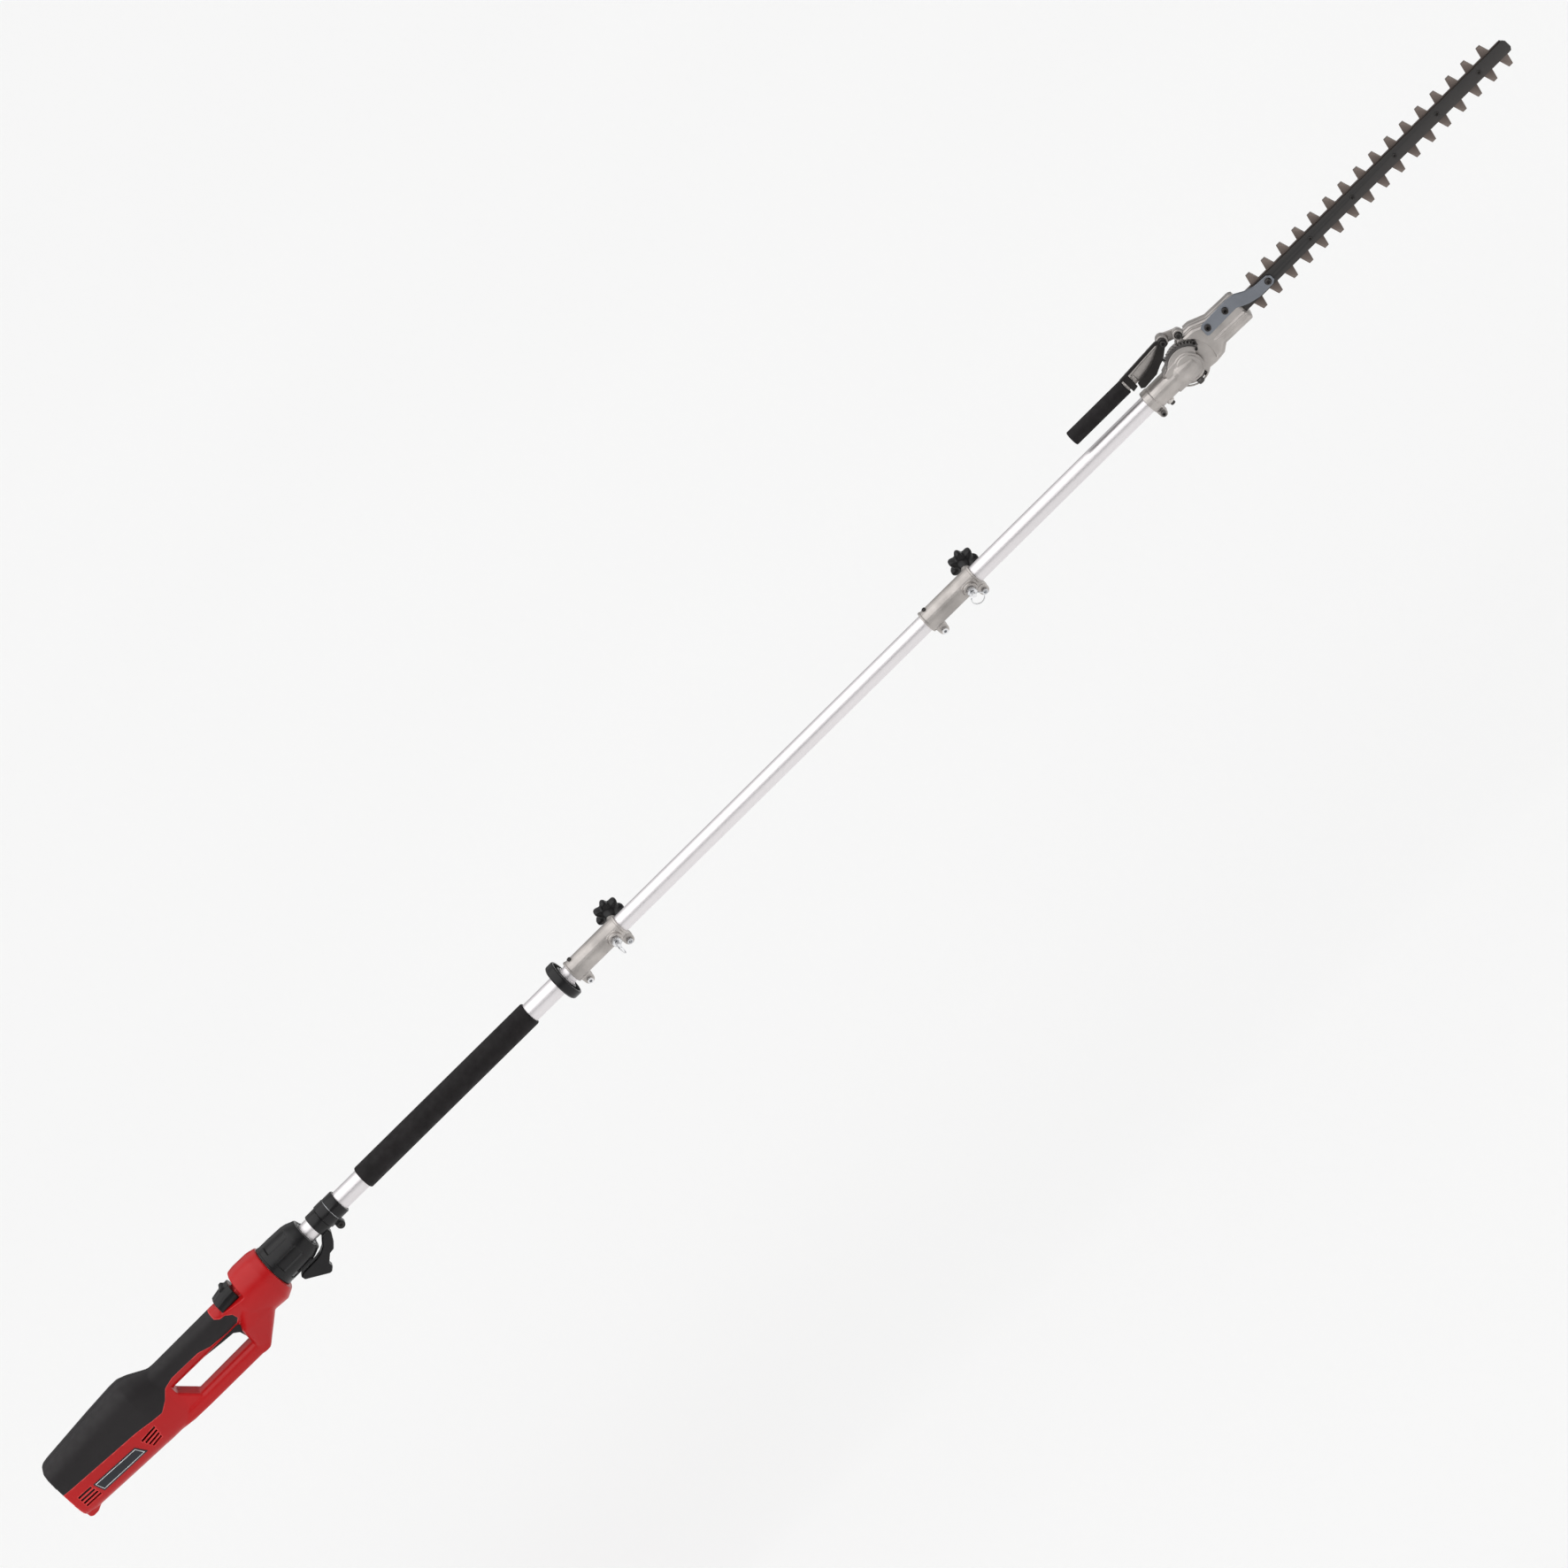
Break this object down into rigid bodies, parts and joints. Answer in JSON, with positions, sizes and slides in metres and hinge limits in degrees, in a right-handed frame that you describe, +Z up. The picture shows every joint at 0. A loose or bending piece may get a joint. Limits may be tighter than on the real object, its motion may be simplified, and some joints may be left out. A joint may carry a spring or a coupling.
{
  "type": "pole hedge trimmer",
  "caption": "Long battery hedge trimmer: rear motor handle, jointed aluminium pole and a tilting double-sided cutting head.",
  "frame": {"origin": "middle of the underside of the whole tool; the rear handle's lower bar rests on this plane", "axes": "+X along the pole from the motor to the blade tip, +Z up, -Y the right side"},
  "size_m": [2.796, 0.0968, 0.1324],
  "materials": {
    "red_shell": "satin moulded red",
    "black_shell": "fine grained black",
    "soft_grip": "soft-touch overmould",
    "foam": "closed-cell foam sleeve",
    "tube_aluminium": "anodised, drawn lengthways",
    "cast_aluminium": "sand-blasted casting",
    "bright_steel": "zinc plated",
    "dark_steel": "black oxide",
    "blade_steel": "ground steel, darkened",
    "board": "circuit board",
    "copper": "bronze bush and winding",
    "badge": "plain dark badge"
  },
  "bodies": {
    "frame": {"housing_right": "red_shell", "housing_left": "red_shell", "soft_grip_right": "soft_grip", "soft_grip_left": "soft_grip", "front_cap": "black_shell", "badge_plate": "badge", "switch_body": "black_shell", "control_board": "board", "motor_can": "bright_steel", "handle_tube": "tube_aluminium", "extension_tube": "tube_aluminium", "head_tube": "tube_aluminium", "foam_grip": "foam", "hanger_collar": "black_shell", "rest_foot": "black_shell", "hand_stop_ring": "black_shell", "shaft_bearing_rear": "copper", "shaft_bearing_middle": "copper", "shaft_bearing_front": "copper", "pivot_housing": "cast_aluminium", "head_clamp_screw": "dark_steel", "ratchet_sector": "dark_steel", "pivot_bolt": "dark_steel", "coupler_1_body": "cast_aluminium", "coupler_1_clamp_screw": "bright_steel", "coupler_1_pin_bush": "bright_steel", "coupler_1_pin_spring": "bright_steel", "coupler_2_body": "cast_aluminium", "coupler_2_clamp_screw": "bright_steel", "coupler_2_pin_bush": "bright_steel", "coupler_2_pin_spring": "bright_steel"},
    "trigger": {"trigger": "black_shell", "trigger_spring": "bright_steel"},
    "lock_button": {"lock_button": "black_shell"},
    "battery": {"battery_pack": "black_shell"},
    "battery_release": {"battery_release": "red_shell"},
    "drive_line": {"rotor": "copper", "drive_shaft_rear": "bright_steel", "drive_shaft_middle": "bright_steel", "drive_shaft_front": "bright_steel", "bevel_pinion": "bright_steel"},
    "knob_1": {"coupler_1_knob": "black_shell"},
    "knob_2": {"coupler_2_knob": "black_shell"},
    "pin_1": {"coupler_1_lock_pin": "bright_steel"},
    "pin_2": {"coupler_2_lock_pin": "bright_steel"},
    "ring_1": {"coupler_1_pull_ring": "bright_steel"},
    "ring_2": {"coupler_2_pull_ring": "bright_steel"},
    "head": {"gear_case_right": "cast_aluminium", "gear_case_left": "cast_aluminium", "guide_bar": "dark_steel", "blade_arm": "bright_steel", "arm_bolt": "dark_steel", "adjust_lever": "cast_aluminium", "lever_sleeve": "foam", "latch_spring": "bright_steel"},
    "latch": {"latch_pawl": "dark_steel"},
    "idler": {"idler_gear": "bright_steel"},
    "crank": {"crank_gear": "bright_steel"},
    "blade_right": {"cutting_blade_right": "blade_steel"},
    "blade_left": {"cutting_blade_left": "blade_steel"}
  },
  "joints": [
    {"name": "trigger_pull", "type": "hinge", "parent": "frame", "child": "trigger", "pos_m": [-1.065, 0.00058, 0.062], "axis": [0, 1, 0], "range_deg": [0, 6], "stiffness_Nm_per_rad": 2},
    {"name": "lock_button_slide", "type": "slide", "parent": "frame", "child": "lock_button", "axis": [1, 0, 0], "range_m": [0, 0.005], "stiffness_N_per_m": 400},
    {"name": "battery_slide", "type": "slide", "parent": "frame", "child": "battery", "axis": [-1, 0, 0], "range_m": [0, 0.13]},
    {"name": "battery_release_press", "type": "slide", "parent": "battery", "child": "battery_release", "axis": [0, 0, -1], "range_m": [0, 0.002], "stiffness_N_per_m": 800},
    {"name": "drive_spin", "type": "hinge", "parent": "frame", "child": "drive_line", "pos_m": [-0.098, 0.00058, 0.074], "axis": [1, 0, 0], "continuous": true},
    {"name": "knob_1_turn", "type": "hinge", "parent": "frame", "child": "knob_1", "pos_m": [-0.307, 0.03817, 0.08768], "axis": [0, 0.9397, 0.342], "continuous": true},
    {"name": "pin_1_pull", "type": "slide", "parent": "frame", "child": "pin_1", "axis": [0, -0.9397, -0.342], "range_m": [0, 0.008], "stiffness_N_per_m": 600},
    {"name": "knob_2_turn", "type": "hinge", "parent": "frame", "child": "knob_2", "pos_m": [0.374, 0.03817, 0.08768], "axis": [0, 0.9397, 0.342], "continuous": true},
    {"name": "pin_2_pull", "type": "slide", "parent": "frame", "child": "pin_2", "axis": [0, -0.9397, -0.342], "range_m": [0, 0.008], "stiffness_N_per_m": 600},
    {"name": "ring_1_swing", "type": "hinge", "parent": "pin_1", "child": "ring_1", "pos_m": [-0.3195, -0.02817, 0.06353], "axis": [0, -0.342, 0.9397], "range_deg": [-75, 75]},
    {"name": "ring_2_swing", "type": "hinge", "parent": "pin_2", "child": "ring_2", "pos_m": [0.3615, -0.02817, 0.06353], "axis": [-1, 0, 0], "range_deg": [-8, 90]},
    {"name": "head_tilt", "type": "hinge", "parent": "frame", "child": "head", "pos_m": [0.785, 0.00058, 0.074], "axis": [0, 1, 0], "range_deg": [0, 90]},
    {"name": "latch_lift", "type": "hinge", "parent": "head", "child": "latch", "pos_m": [0.7835, -0.00942, 0.1235], "axis": [0, 1, 0], "range_deg": [0, 8], "stiffness_Nm_per_rad": 1},
    {"name": "idler_spin", "type": "hinge", "parent": "head", "child": "idler", "pos_m": [0.785, 0.01058, 0.074], "axis": [0, 1, 0], "continuous": true},
    {"name": "crank_spin", "type": "hinge", "parent": "head", "child": "crank", "pos_m": [0.824, 0.00558, 0.081], "axis": [0, 1, 0], "continuous": true},
    {"name": "blade_right_slide", "type": "slide", "parent": "head", "child": "blade_right", "axis": [1, 0, 0], "range_m": [-0.0073, 0.0073]},
    {"name": "blade_left_slide", "type": "slide", "parent": "head", "child": "blade_left", "axis": [1, 0, 0], "range_m": [-0.0073, 0.0073]}
  ],
  "couplings": [
    {"joint": "idler_spin", "follows": "drive_spin", "ratio": 0.85714},
    {"joint": "crank_spin", "follows": "drive_spin", "ratio": -0.6},
    {"joint": "blade_left_slide", "follows": "blade_right_slide", "ratio": -1}
  ]
}
